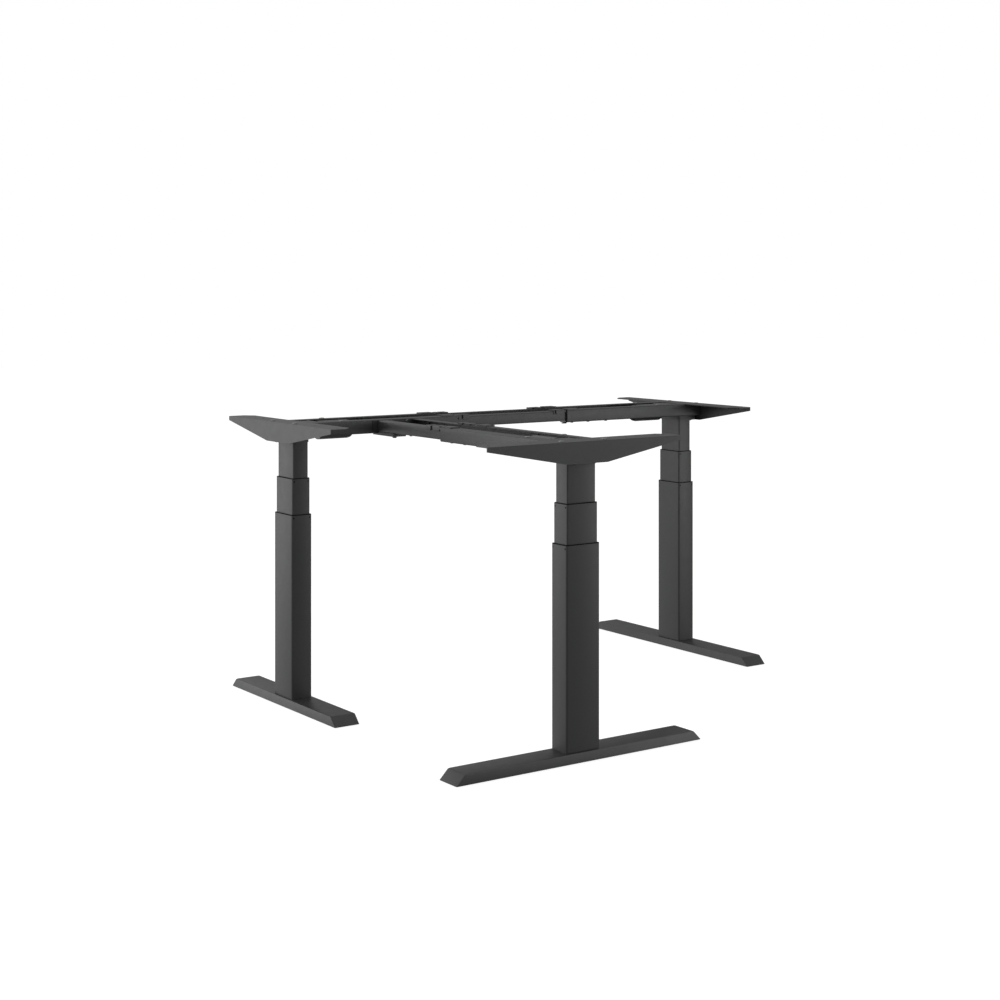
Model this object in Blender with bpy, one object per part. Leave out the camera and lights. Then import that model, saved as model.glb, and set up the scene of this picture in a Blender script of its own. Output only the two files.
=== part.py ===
"""Height adjustable L-shaped standing desk frame on three telescopic legs.

Metres, +Z up, with the origin on the floor under the middle of the frame.
The main beam runs along +X from the corner leg to the right leg. The return
beam runs along -Y from the main beam to the return leg. The three legs are
alike: each is modelled in a leg frame of its own, whose +X points inward along
its beam and whose Y runs along its foot.
"""

import math

import bmesh
import bpy
from mathutils import Matrix, Vector

CLEAR = 0.0003  # working gap between pieces that touch

# Layout
SPAN_MAIN = 1.392  # corner column to right column
SPAN_RETURN = 0.896  # main beam's centre line to return column
RETURN_SHIFT = 0.299  # corner column to the return beam's centre line

# Feet
FOOT_LENGTH = 0.750
CORNER_FOOT_LENGTH = 0.600
FOOT_WIDTH = 0.075
FOOT_HEIGHT = 0.025
FOOT_WALL = 0.0025
FOOT_SLANT = 0.025  # how far each end leans in from bottom to top
FOOT_CORNER = 0.003
FOOT_EASE = 0.0009  # inset and drop of the middle of the rounded top edge
LEVELER_INSET = 0.039  # from the foot's tip to the leveler's axis
LEVELER_PAD_RADIUS = 0.015
LEVELER_PAD_HEIGHT = 0.003
LEVELER_STEM_RADIUS = 0.004
LEVELER_NUT_RADIUS = 0.0075
LEVELER_NUT_HEIGHT = 0.014

# Telescopic column. "Long" is along the foot and "short" is across it.
COLUMN_LONG = 0.1025
COLUMN_SHORT = 0.062
COLUMN_CORNER = 0.005
TUBE_WALL = 0.0015
LOWER_TUBE_HEIGHT = 0.505
MIDDLE_SHOWS = 0.0995  # middle tube in sight at rest
INNER_SHOWS = 0.0981  # inner tube in sight at rest
LOWER_GUIDE_LONG = 0.0026  # slack between lower and middle tube, filled by a glide
LOWER_GUIDE_SHORT = 0.002
UPPER_GUIDE_LONG = 0.00175  # slack between middle and inner tube
UPPER_GUIDE_SHORT = 0.0026
GLIDE_CAP = 0.002
GLIDE_SKIRT = 0.060

# Travel of each of the two telescopic stages, from rest
TRAVEL_DOWN = 0.092
TRAVEL_UP = 0.233
BOTTOM_ROOM = 0.0125  # middle tube above the foot when fully down
STAGE_ROOM = 0.002  # inner tube above the carrier plate when fully down

# Nested spindles, which fill the inner tube's bore from its narrow walls inward
CARRIER_ROOM = 0.0045  # carrier to the inner tube's wall
HOLLOW_WALL = 0.0037
POST_WALL = 0.003
POST_SLACK = 0.001  # round the hollow spindle, below its nut
CARRIER_SLACK = 0.0005
CARRIER_WALL = 0.0025
CARRIER_PLATE = 0.004
CARRIER_CAP = 0.008
NUT_LENGTH = 0.025
SPINDLE_ROOM = 0.005
POST_FLANGE = 0.010  # how far the post's flange stands out
SPINDLE_JOURNAL_STEP = 0.002
SPINDLE_HEAD_HEIGHT = 0.006
DRIVE_HUB_STEP = 0.003
DRIVE_HUB_HEIGHT = 0.020

# Column head, gearbox and motor
HEAD_HEIGHT = 0.014
HEAD_MARGIN = 0.002  # beyond the inner tube's outline
GEARBOX_TOP_DROP = 0.0038  # below the beam's top
GEARBOX_ROOM = 0.0044  # to the rails' lips on each side
GEARBOX_OUTER = 0.032  # reach outward from the column axis
GEARBOX_INNER = 0.072  # reach inward, to the motor
GEARBOX_CORNER = 0.010
MOTOR_RADIUS = 0.026
MOTOR_LENGTH = 0.106
MOTOR_NOSE_RADIUS = 0.018
MOTOR_NOSE = 0.004
MOTOR_CAP = 0.008
MOTOR_CAP_STEP = 0.0015
MOTOR_TOP_DROP = 0.001  # below the beam's top

# Side bracket under the desktop
BRACKET_LENGTH = 0.594
BRACKET_REACH = 0.049  # column axis to the web's outer face
BRACKET_INNER = 0.022  # column axis to the flange's inner edge
BRACKET_FLAT = 0.124  # length of the level stretch of its lower edge
BRACKET_TIP = 0.012
BRACKET_WALL = 0.0025
BRACKET_NIP = 0.025  # cut off each inner corner of the flange
BRACKET_HOLE_RADIUS = 0.0035
BRACKET_HOLES = (-0.270, -0.150, 0.150, 0.270)
BRACKET_HOLE_X = -0.014

# Beam rails: C sections with their webs on the outside
RAIL_SPREAD = 0.0714  # beam's centre line to an end rail's outer face
RAIL_RAISE = 0.0021  # end rails above the column heads
END_RAIL_HEIGHT = 0.038
END_RAIL_DEPTH = 0.030
END_RAIL_REACH = 0.498  # column axis to the open end
CENTRE_RAIL_DROP = 0.0027  # slack under the centre rail inside an end rail
CENTRE_RAIL_DEPTH = 0.026
RAIL_WALL = 0.002
RAIL_BEND = 0.003
RAIL_OVERLAP = 0.250  # centre rail inside each end rail
PAD_LENGTH = 0.042  # raised desktop pad near the end rail's open end
PAD_INSET = 0.007
PAD_RAISE = 0.003
PAD_MARGIN = 0.0005

# Joint between the return beam and the main beam
JOINT_PLATE = 0.003
JOINT_MARGIN = 0.0131  # beyond the return beam's sides
JOINT_LAP = 0.0015  # above and below the centre rails
JOINT_CHEEK = 0.060
CLAMP_WIDTH = 0.042
CLAMP_THICKNESS = 0.0047
CLAMP_REACH = 0.079
CLAMP_UNDER = 0.026

# Derived levels
FOOT_BOTTOM = LEVELER_PAD_HEIGHT
FOOT_TOP = FOOT_BOTTOM + FOOT_HEIGHT
LOWER_TOP = FOOT_TOP + LOWER_TUBE_HEIGHT
MIDDLE_TOP = LOWER_TOP + MIDDLE_SHOWS
COLUMN_TOP = MIDDLE_TOP + INNER_SHOWS
MIDDLE_BOTTOM = FOOT_TOP + TRAVEL_DOWN + BOTTOM_ROOM
INNER_BOTTOM = MIDDLE_BOTTOM + CARRIER_PLATE + TRAVEL_DOWN + STAGE_ROOM
HEAD_BOTTOM = COLUMN_TOP + CLEAR
HEAD_TOP = HEAD_BOTTOM + HEAD_HEIGHT
END_RAIL_BOTTOM = HEAD_TOP + RAIL_RAISE
BEAM_TOP = END_RAIL_BOTTOM + END_RAIL_HEIGHT
BRACKET_DEPTH = BEAM_TOP - COLUMN_TOP
CENTRE_RAIL_TOP = BEAM_TOP - RAIL_WALL - CLEAR
CENTRE_RAIL_BOTTOM = END_RAIL_BOTTOM + RAIL_WALL + CENTRE_RAIL_DROP
CENTRE_RAIL_HEIGHT = CENTRE_RAIL_TOP - CENTRE_RAIL_BOTTOM
CENTRE_RAIL_SPREAD = RAIL_SPREAD - RAIL_WALL - CLEAR
GEARBOX_BOTTOM = HEAD_TOP + CLEAR
GEARBOX_TOP = BEAM_TOP - GEARBOX_TOP_DROP
GEARBOX_WIDTH = 2 * (RAIL_SPREAD - END_RAIL_DEPTH - GEARBOX_ROOM)

# Derived column sections, as (long, short)
LOWER_BORE = (COLUMN_LONG - 2 * TUBE_WALL, COLUMN_SHORT - 2 * TUBE_WALL)
MIDDLE_SIZE = (LOWER_BORE[0] - 2 * LOWER_GUIDE_LONG, LOWER_BORE[1] - 2 * LOWER_GUIDE_SHORT)
MIDDLE_BORE = (MIDDLE_SIZE[0] - 2 * TUBE_WALL, MIDDLE_SIZE[1] - 2 * TUBE_WALL)
INNER_SIZE = (MIDDLE_BORE[0] - 2 * UPPER_GUIDE_LONG, MIDDLE_BORE[1] - 2 * UPPER_GUIDE_SHORT)
INNER_BORE = (INNER_SIZE[0] - 2 * TUBE_WALL, INNER_SIZE[1] - 2 * TUBE_WALL)

# Derived spindle radii and levels
CARRIER_RADIUS = INNER_BORE[1] / 2 - CARRIER_ROOM
CARRIER_BORE = CARRIER_RADIUS - CARRIER_WALL
POST_RADIUS = CARRIER_BORE - CARRIER_SLACK
POST_BORE = POST_RADIUS - POST_WALL
HOLLOW_RADIUS = POST_BORE - POST_SLACK
HOLLOW_BORE = HOLLOW_RADIUS - HOLLOW_WALL
DRIVE_RADIUS = HOLLOW_BORE - CLEAR
DRIVE_HUB_RADIUS = DRIVE_RADIUS + DRIVE_HUB_STEP
JOURNAL_RADIUS = HOLLOW_RADIUS - SPINDLE_JOURNAL_STEP
HOLLOW_BOTTOM = FOOT_TOP + TRAVEL_DOWN + SPINDLE_ROOM
POST_TOP = HOLLOW_BOTTOM + TRAVEL_UP + NUT_LENGTH + SPINDLE_ROOM
CAP_BOTTOM = POST_TOP + TRAVEL_DOWN + SPINDLE_ROOM
CAP_TOP = CAP_BOTTOM + CARRIER_CAP
DRIVE_BOTTOM = CAP_TOP - NUT_LENGTH - TRAVEL_UP

# Middle of the frame's outline, which is the part's origin
LEFT = min(-BRACKET_REACH, RETURN_SHIFT - FOOT_LENGTH / 2)
RIGHT = SPAN_MAIN + BRACKET_REACH
REAR = FOOT_LENGTH / 2
FRONT = -SPAN_RETURN - BRACKET_REACH
CENTRE_X = (LEFT + RIGHT) / 2
CENTRE_Y = (FRONT + REAR) / 2

CORNER_STEPS = 3
ROUND = 4 * (CORNER_STEPS + 1)
FINE_ROUND = 24
SHARP_ANGLE = math.radians(35)

# Colour, roughness and metallic value of each finish
FINISHES = {
    "powder_coat": ((0.040, 0.041, 0.043), 0.42, 0.0),
    "black_plastic": ((0.012, 0.012, 0.013), 0.50, 0.0),
    "motor_enamel": ((0.018, 0.018, 0.020), 0.38, 0.0),
    "cast_alloy": ((0.060, 0.061, 0.064), 0.50, 0.6),
    "steel": ((0.480, 0.480, 0.470), 0.30, 1.0),
}


def clear_scene():
    for old in list(bpy.data.objects):
        bpy.data.objects.remove(old, do_unlink=True)


def circle(radius, z, count=ROUND):
    """Points of a level circle about the Z axis."""
    turn = 2 * math.pi / count
    angles = [(i + 0.5) * turn for i in range(count)]
    return [Vector((radius * math.cos(a), radius * math.sin(a), z)) for a in angles]


def rounded_rectangle(size_y, size_x, radius, z, middle_x=0.0):
    """Points of a level rectangle with round corners, anticlockwise from above."""
    points = []
    for corner, (side_x, side_y) in enumerate(((1, 1), (-1, 1), (-1, -1), (1, -1))):
        centre = Vector((middle_x + side_x * (size_x / 2 - radius), side_y * (size_y / 2 - radius), z))
        for step in range(CORNER_STEPS + 1):
            angle = math.pi / 2 * (corner + step / CORNER_STEPS)
            points.append(centre + radius * Vector((math.cos(angle), math.sin(angle), 0)))
    return points


def skin(rings, loop=False):
    """Closed mesh through rings of equal count.

    A loop joins the last ring to the first, as in a tube. Otherwise both ends are capped.
    """
    mesh = bmesh.new()
    rows = [[mesh.verts.new(point) for point in ring] for ring in rings]
    pairs = list(zip(rows, rows[1:]))
    if loop:
        pairs.append((rows[-1], rows[0]))
    else:
        mesh.faces.new(rows[0])
        mesh.faces.new(rows[-1])
    for low, high in pairs:
        for i in range(len(low)):
            j = (i + 1) % len(low)
            mesh.faces.new((low[i], low[j], high[j], high[i]))
    bmesh.ops.recalc_face_normals(mesh, faces=mesh.faces)
    return mesh


def turned(profile, loop=False, count=FINE_ROUND):
    """Mesh turned about the Z axis from (radius, z) points."""
    return skin([circle(radius, z, count) for radius, z in profile], loop)


def block(low, high):
    """Box between two opposite corners."""
    rings = []
    for z in (low[2], high[2]):
        level = ((low[0], low[1]), (high[0], low[1]), (high[0], high[1]), (low[0], high[1]))
        rings.append([Vector((x, y, z)) for x, y in level])
    return skin(rings)


def extruded(outline, start, end):
    """Outline of (y, z) points extruded along X."""
    return skin([[Vector((x, y, z)) for y, z in outline] for x in (start, end)])


def arc(centre, radius, start):
    """Quarter turn of points, anticlockwise from the given angle in degrees."""
    angles = [math.radians(start + 90 * i / CORNER_STEPS) for i in range(CORNER_STEPS + 1)]
    return [(centre[0] + radius * math.cos(a), centre[1] + radius * math.sin(a)) for a in angles]


def channel(height, depth):
    """C section as (outward, up) points: the web's outer face is at 0 and the flanges reach inward."""
    bend = RAIL_BEND
    inner = RAIL_BEND - RAIL_WALL
    outside = arc((-bend, bend), bend, -90) + arc((-bend, height - bend), bend, 0)
    inside = arc((-bend, bend), inner, -90) + arc((-bend, height - bend), inner, 0)
    top_lip = [(-depth, height), (-depth, height - RAIL_WALL)]
    bottom_lip = [(-depth, RAIL_WALL), (-depth, 0)]
    return outside + top_lip + inside[::-1] + bottom_lip


def rail(height, depth, spread, bottom, side, start, end):
    """Length of C section along X, on the +Y or -Y side of its beam."""
    section = channel(height, depth)
    return extruded([(side * (spread + out), bottom + up) for out, up in section], start, end)


def finish_material(name, finish):
    colour, roughness, metallic = FINISHES[finish]
    material = bpy.data.materials.new(name)
    material.use_nodes = True
    shader = material.node_tree.nodes["Principled BSDF"]
    shader.inputs["Base Color"].default_value = (*colour, 1)
    shader.inputs["Roughness"].default_value = roughness
    shader.inputs["Metallic"].default_value = metallic
    return material


def put(name, shape, parent, location=(0, 0, 0)):
    """Object in the scene from a bmesh, which is freed."""
    mesh = bpy.data.meshes.new(name)
    shape.to_mesh(mesh)
    shape.free()
    mesh.shade_smooth()
    mesh.set_sharp_from_angle(angle=SHARP_ANGLE)
    made = bpy.data.objects.new(name, mesh)
    bpy.context.scene.collection.objects.link(made)
    made.parent = parent
    made.location = location
    return made


def piece(name, shape, finish, parent, location=(0, 0, 0)):
    made = put(name, shape, parent, location)
    made.data.materials.append(finish_material(name, finish))
    return made


def carve(target, operation, shape):
    """Joins a shape to the target or cuts it away, through a helper in the target's frame."""
    count = len(target.modifiers)
    helper = put(f"{target.name}_{operation.lower()}_{count}", shape, target)
    helper.hide_render = True
    helper.display_type = "WIRE"
    modifier = target.modifiers.new(f"{operation.lower()}_{count}", "BOOLEAN")
    modifier.operation = operation
    modifier.solver = "EXACT"
    modifier.object = helper


def empty(name, location, turn=0.0, parent=None):
    made = bpy.data.objects.new(name, None)
    bpy.context.scene.collection.objects.link(made)
    made.location = location
    made.rotation_euler.z = turn
    made.parent = parent
    return made


def build_foot(leg, frame, length):
    """Pressed steel foot, open below, with a welded nut for each of its two levelers."""

    def level(inset, z):
        lean = FOOT_SLANT * (z - FOOT_BOTTOM) / FOOT_HEIGHT
        size_y = length - 2 * lean - 2 * inset
        return rounded_rectangle(size_y, FOOT_WIDTH - 2 * inset, FOOT_CORNER, z)

    rings = [
        level(FOOT_CORNER, FOOT_TOP),
        level(FOOT_EASE, FOOT_TOP - FOOT_EASE),
        level(0, FOOT_TOP - FOOT_CORNER),
        level(0, FOOT_BOTTOM),
        level(FOOT_WALL, FOOT_BOTTOM),
        level(FOOT_WALL, FOOT_TOP - FOOT_CORNER),
        level(FOOT_CORNER, FOOT_TOP - FOOT_WALL),
    ]
    foot = piece(f"{leg}_foot", skin(rings), "powder_coat", frame)
    nut_top = FOOT_TOP - FOOT_WALL / 2
    nut_bottom = FOOT_TOP - FOOT_WALL - LEVELER_NUT_HEIGHT
    stem_room = LEVELER_STEM_RADIUS + CLEAR
    for tag, side in (("front", -1), ("rear", 1)):
        axis = side * (length / 2 - LEVELER_INSET)
        nut = turned([(LEVELER_NUT_RADIUS, nut_bottom), (LEVELER_NUT_RADIUS, nut_top)], count=6)
        hole = turned([(stem_room, nut_bottom - FOOT_WALL), (stem_room, FOOT_TOP - FOOT_WALL)], count=ROUND)
        for shape in (nut, hole):
            bmesh.ops.translate(shape, verts=shape.verts, vec=(0, axis, 0))
        carve(foot, "UNION", nut)
        carve(foot, "DIFFERENCE", hole)
        build_leveler(f"{leg}_leveler_{tag}", frame, axis)


def build_leveler(name, frame, axis):
    pad_top = LEVELER_PAD_HEIGHT - CLEAR
    edge = LEVELER_PAD_HEIGHT / 4
    profile = [
        (LEVELER_PAD_RADIUS - edge, 0),
        (LEVELER_PAD_RADIUS, edge),
        (LEVELER_PAD_RADIUS, pad_top),
        (LEVELER_STEM_RADIUS, pad_top),
        (LEVELER_STEM_RADIUS, FOOT_TOP - FOOT_WALL - 2 * CLEAR),
    ]
    piece(name, turned(profile, count=ROUND), "black_plastic", frame, (0, axis, 0))


def tube(size, bore, bottom, top, corner):
    """Rectangular tube with round corners."""
    inside = corner - TUBE_WALL
    rings = [
        rounded_rectangle(*size, corner, bottom),
        rounded_rectangle(*size, corner, top),
        rounded_rectangle(*bore, inside, top),
        rounded_rectangle(*bore, inside, bottom),
    ]
    return skin(rings, loop=True)


def build_lower_stage(leg, frame):
    """Lower tube on the foot, with the nut post standing inside it."""
    base = FOOT_TOP + CLEAR
    size = (COLUMN_LONG, COLUMN_SHORT)
    shape = tube(size, LOWER_BORE, base, LOWER_TOP - GLIDE_CAP, COLUMN_CORNER)
    piece(f"{leg}_lower_tube", shape, "powder_coat", frame)
    flange_top = base + CARRIER_PLATE
    nut_bore = HOLLOW_RADIUS + CLEAR
    profile = [
        (POST_BORE, base),
        (POST_RADIUS + POST_FLANGE, base),
        (POST_RADIUS + POST_FLANGE, flange_top),
        (POST_RADIUS, flange_top),
        (POST_RADIUS, POST_TOP),
        (nut_bore, POST_TOP),
        (nut_bore, POST_TOP - NUT_LENGTH),
        (POST_BORE, POST_TOP - NUT_LENGTH),
    ]
    piece(f"{leg}_nut_post", turned(profile, loop=True, count=ROUND), "steel", frame)


def build_middle_stage(leg, frame):
    """Middle tube, whose bottom plate carries the bearing tube of the hollow spindle."""
    corner = COLUMN_CORNER - TUBE_WALL / 2
    top = MIDDLE_TOP - GLIDE_CAP
    shape = tube(MIDDLE_SIZE, MIDDLE_BORE, MIDDLE_BOTTOM, top, corner)
    middle = piece(f"{leg}_middle_tube", shape, "powder_coat", frame)
    plate_top = MIDDLE_BOTTOM + CARRIER_PLATE
    lap = TUBE_WALL / 2
    plate_size = (MIDDLE_BORE[0] + lap, MIDDLE_BORE[1] + lap)
    lift = CARRIER_PLATE / 4
    plate = [rounded_rectangle(*plate_size, corner - lap, z) for z in (MIDDLE_BOTTOM + lift, plate_top)]
    carve(middle, "UNION", skin(plate))
    opening = (CARRIER_BORE + CARRIER_RADIUS) / 2
    carve(middle, "DIFFERENCE", turned([(opening, MIDDLE_BOTTOM - lift), (opening, plate_top + lift)]))
    journal_bore = JOURNAL_RADIUS + CLEAR
    carrier = [
        (CARRIER_BORE, MIDDLE_BOTTOM),
        (CARRIER_RADIUS, MIDDLE_BOTTOM),
        (CARRIER_RADIUS, CAP_TOP),
        (journal_bore, CAP_TOP),
        (journal_bore, CAP_BOTTOM),
        (CARRIER_BORE, CAP_BOTTOM),
    ]
    carve(middle, "UNION", turned(carrier, loop=True))
    head_bottom = CAP_TOP + CLEAR
    head_top = head_bottom + SPINDLE_HEAD_HEIGHT
    profile = [
        (HOLLOW_BORE, HOLLOW_BOTTOM),
        (HOLLOW_RADIUS, HOLLOW_BOTTOM),
        (HOLLOW_RADIUS, CAP_BOTTOM - CLEAR),
        (JOURNAL_RADIUS, CAP_BOTTOM - CLEAR),
        (JOURNAL_RADIUS, head_bottom),
        (POST_BORE, head_bottom),
        (POST_BORE, head_top),
        (HOLLOW_BORE, head_top),
    ]
    piece(f"{leg}_hollow_spindle", turned(profile, loop=True, count=ROUND), "steel", frame)


def build_upper_stage(leg, frame):
    """Inner tube, its head block, and the drive spindle that hangs from the gearbox."""
    corner = COLUMN_CORNER - TUBE_WALL
    shape = tube(INNER_SIZE, INNER_BORE, INNER_BOTTOM, COLUMN_TOP, corner)
    piece(f"{leg}_inner_tube", shape, "powder_coat", frame)
    outer = -BRACKET_REACH + BRACKET_WALL + CLEAR
    inner = INNER_SIZE[1] / 2 + HEAD_MARGIN
    size = (INNER_SIZE[0] + 2 * HEAD_MARGIN, inner - outer)
    middle_x = (outer + inner) / 2
    spindle_room = DRIVE_RADIUS + CLEAR
    rings = [
        rounded_rectangle(*size, COLUMN_CORNER, HEAD_BOTTOM, middle_x),
        rounded_rectangle(*size, COLUMN_CORNER, HEAD_TOP, middle_x),
        circle(spindle_room, HEAD_TOP),
        circle(spindle_room, HEAD_BOTTOM),
    ]
    piece(f"{leg}_column_head", skin(rings, loop=True), "cast_alloy", frame)
    profile = [
        (DRIVE_RADIUS, DRIVE_BOTTOM),
        (DRIVE_RADIUS, GEARBOX_BOTTOM),
        (DRIVE_HUB_RADIUS, GEARBOX_BOTTOM),
        (DRIVE_HUB_RADIUS, GEARBOX_BOTTOM + DRIVE_HUB_HEIGHT),
    ]
    piece(f"{leg}_drive_spindle", turned(profile, count=ROUND), "steel", frame)


def build_glide(name, frame, size, bore, inner, top):
    """Plastic collar on a tube's top, with a skirt inside it that guides the next tube."""
    outer = (bore[0] - 2 * CLEAR, bore[1] - 2 * CLEAR)
    guide = (inner[0] + 2 * CLEAR, inner[1] + 2 * CLEAR)
    corner = COLUMN_CORNER - TUBE_WALL
    seat = top - GLIDE_CAP + CLEAR
    rings = [
        rounded_rectangle(*outer, corner, top - GLIDE_SKIRT),
        rounded_rectangle(*outer, corner, seat),
        rounded_rectangle(*size, COLUMN_CORNER, seat),
        rounded_rectangle(*size, COLUMN_CORNER, top),
        rounded_rectangle(*guide, corner, top),
        rounded_rectangle(*guide, corner, top - GLIDE_SKIRT),
    ]
    piece(name, skin(rings, loop=True), "black_plastic", frame)


def build_drive(leg, frame):
    """Gearbox on the column head, and the motor that lies beside it between the rails."""
    size = (GEARBOX_WIDTH, GEARBOX_OUTER + GEARBOX_INNER)
    middle_x = (GEARBOX_INNER - GEARBOX_OUTER) / 2
    hub_room = DRIVE_HUB_RADIUS + CLEAR
    rings = [
        rounded_rectangle(*size, GEARBOX_CORNER, GEARBOX_BOTTOM, middle_x),
        rounded_rectangle(*size, GEARBOX_CORNER, GEARBOX_TOP, middle_x),
        circle(hub_room, GEARBOX_TOP),
        circle(hub_room, GEARBOX_BOTTOM),
    ]
    piece(f"{leg}_gearbox", skin(rings, loop=True), "cast_alloy", frame)
    profile = [
        (MOTOR_NOSE_RADIUS, 0),
        (MOTOR_NOSE_RADIUS, MOTOR_NOSE),
        (MOTOR_RADIUS, MOTOR_NOSE),
        (MOTOR_RADIUS, MOTOR_LENGTH - MOTOR_CAP),
        (MOTOR_RADIUS - MOTOR_CAP_STEP, MOTOR_LENGTH - MOTOR_CAP),
        (MOTOR_RADIUS - MOTOR_CAP_STEP, MOTOR_LENGTH - MOTOR_CAP_STEP),
        (MOTOR_RADIUS - 2 * MOTOR_CAP_STEP, MOTOR_LENGTH),
    ]
    motor = turned(profile)
    bmesh.ops.transform(motor, matrix=Matrix.Rotation(math.pi / 2, 4, "Y"), verts=motor.verts)
    place = (GEARBOX_INNER + CLEAR, 0, BEAM_TOP - MOTOR_TOP_DROP - MOTOR_RADIUS)
    piece(f"{leg}_motor", motor, "motor_enamel", frame, place)


def build_bracket(leg, frame):
    """Folded side bracket: a deep web that tapers to its tips, and a top flange with nipped corners."""
    half = BRACKET_LENGTH / 2
    flat = BRACKET_FLAT / 2
    outline = [
        (-half, BEAM_TOP),
        (-half, BEAM_TOP - BRACKET_TIP),
        (-flat, BEAM_TOP - BRACKET_DEPTH),
        (flat, BEAM_TOP - BRACKET_DEPTH),
        (half, BEAM_TOP - BRACKET_TIP),
        (half, BEAM_TOP),
    ]
    shape = extruded(outline, -BRACKET_REACH, BRACKET_INNER)
    bracket = piece(f"{leg}_side_bracket", shape, "powder_coat", frame)
    wall = BRACKET_WALL
    low = (-BRACKET_REACH + wall, -BRACKET_LENGTH, BEAM_TOP - 2 * BRACKET_DEPTH)
    high = (2 * BRACKET_INNER, BRACKET_LENGTH, BEAM_TOP - wall)
    carve(bracket, "DIFFERENCE", block(low, high))
    through = (BEAM_TOP - 2 * wall, BEAM_TOP + wall)
    for side in (-1, 1):
        corner = (
            (BRACKET_INNER - BRACKET_NIP - wall, side * (half + wall)),
            (BRACKET_INNER + wall, side * (half - BRACKET_NIP - wall)),
            (BRACKET_INNER + wall, side * (half + wall)),
        )
        nip = [[Vector((x, y, z)) for x, y in corner] for z in through]
        carve(bracket, "DIFFERENCE", skin(nip))
    for y in BRACKET_HOLES:
        hole = turned([(BRACKET_HOLE_RADIUS, z) for z in through], count=ROUND)
        bmesh.ops.translate(hole, verts=hole.verts, vec=(BRACKET_HOLE_X, y, 0))
        carve(bracket, "DIFFERENCE", hole)


def build_end_rail(name, frame, side):
    """Outer rail from the bracket's web inward. Its top is notched to pass under the bracket's flange."""
    start = -BRACKET_REACH + BRACKET_WALL + CLEAR
    shape = rail(END_RAIL_HEIGHT, END_RAIL_DEPTH, RAIL_SPREAD, END_RAIL_BOTTOM, side, start, END_RAIL_REACH)
    made = piece(name, shape, "powder_coat", frame)
    width = 2 * RAIL_SPREAD
    low = (start - RAIL_BEND, -width, BEAM_TOP - BRACKET_WALL - CLEAR)
    high = (BRACKET_INNER + CLEAR, width, BEAM_TOP + BRACKET_WALL)
    carve(made, "DIFFERENCE", block(low, high))
    pad_end = END_RAIL_REACH - PAD_INSET
    edges = sorted((side * (RAIL_SPREAD - PAD_MARGIN), side * (RAIL_SPREAD - END_RAIL_DEPTH + PAD_MARGIN)))
    low = (pad_end - PAD_LENGTH, edges[0], BEAM_TOP - RAIL_WALL / 2)
    high = (pad_end, edges[1], BEAM_TOP + PAD_RAISE)
    carve(made, "UNION", block(low, high))


def build_centre_rail(name, frame, side, start, end):
    """Inner rail that slides in the end rails' channels."""
    section = (CENTRE_RAIL_HEIGHT, CENTRE_RAIL_DEPTH, CENTRE_RAIL_SPREAD, CENTRE_RAIL_BOTTOM)
    piece(name, rail(*section, side, start, end), "powder_coat", frame)


def build_leg(leg, frame, foot_length, sides):
    build_foot(leg, frame, foot_length)
    build_lower_stage(leg, frame)
    build_middle_stage(leg, frame)
    build_upper_stage(leg, frame)
    lower_size = (COLUMN_LONG, COLUMN_SHORT)
    build_glide(f"{leg}_lower_glide", frame, lower_size, LOWER_BORE, MIDDLE_SIZE, LOWER_TOP)
    build_glide(f"{leg}_upper_glide", frame, MIDDLE_SIZE, MIDDLE_BORE, INNER_SIZE, MIDDLE_TOP)
    build_drive(leg, frame)
    build_bracket(leg, frame)
    for tag, side in sides:
        build_end_rail(f"{leg}_{tag}_end_rail", frame, side)


def build_joint(frame):
    """Bracket and two clamps that fasten the return beam to the corner leg's front end rail.

    The frame's +X runs from the return leg toward the main beam, and X = 0 is the main rail's outer face.
    """
    face = -CLEAR
    half = RAIL_SPREAD + JOINT_MARGIN
    low = (face - JOINT_PLATE, -half, CENTRE_RAIL_BOTTOM - JOINT_LAP)
    high = (face, half, CENTRE_RAIL_TOP + JOINT_LAP)
    joint = piece("corner_joint", block(low, high), "powder_coat", frame)
    cheek_out = CENTRE_RAIL_SPREAD - RAIL_WALL - CLEAR
    cheek_bottom = CENTRE_RAIL_BOTTOM + RAIL_BEND
    cheek_top = CENTRE_RAIL_TOP - RAIL_BEND
    for side in (-1, 1):
        edges = sorted((side * cheek_out, side * (cheek_out - JOINT_PLATE)))
        low = (face - JOINT_CHEEK, edges[0], cheek_bottom)
        carve(joint, "UNION", block(low, (face - JOINT_PLATE / 2, edges[1], cheek_top)))
    end_seat = END_RAIL_BOTTOM - CLEAR
    centre_seat = CENTRE_RAIL_BOTTOM - CLEAR
    step = face - JOINT_PLATE - CLEAR
    outline = [
        (CLAMP_UNDER, end_seat),
        (step, end_seat),
        (step, centre_seat),
        (step - CLAMP_REACH, centre_seat),
        (step - CLAMP_REACH, end_seat - CLAMP_THICKNESS),
        (CLAMP_UNDER, end_seat - CLAMP_THICKNESS),
    ]
    for tag, side in (("left", 1), ("right", -1)):
        outer = side * (RAIL_SPREAD - RAIL_BEND)
        across = sorted((outer, outer - side * CLAMP_WIDTH))
        rings = [[Vector((x, y, z)) for x, z in outline] for y in across]
        piece(f"corner_clamp_{tag}", skin(rings), "powder_coat", frame)


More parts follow.
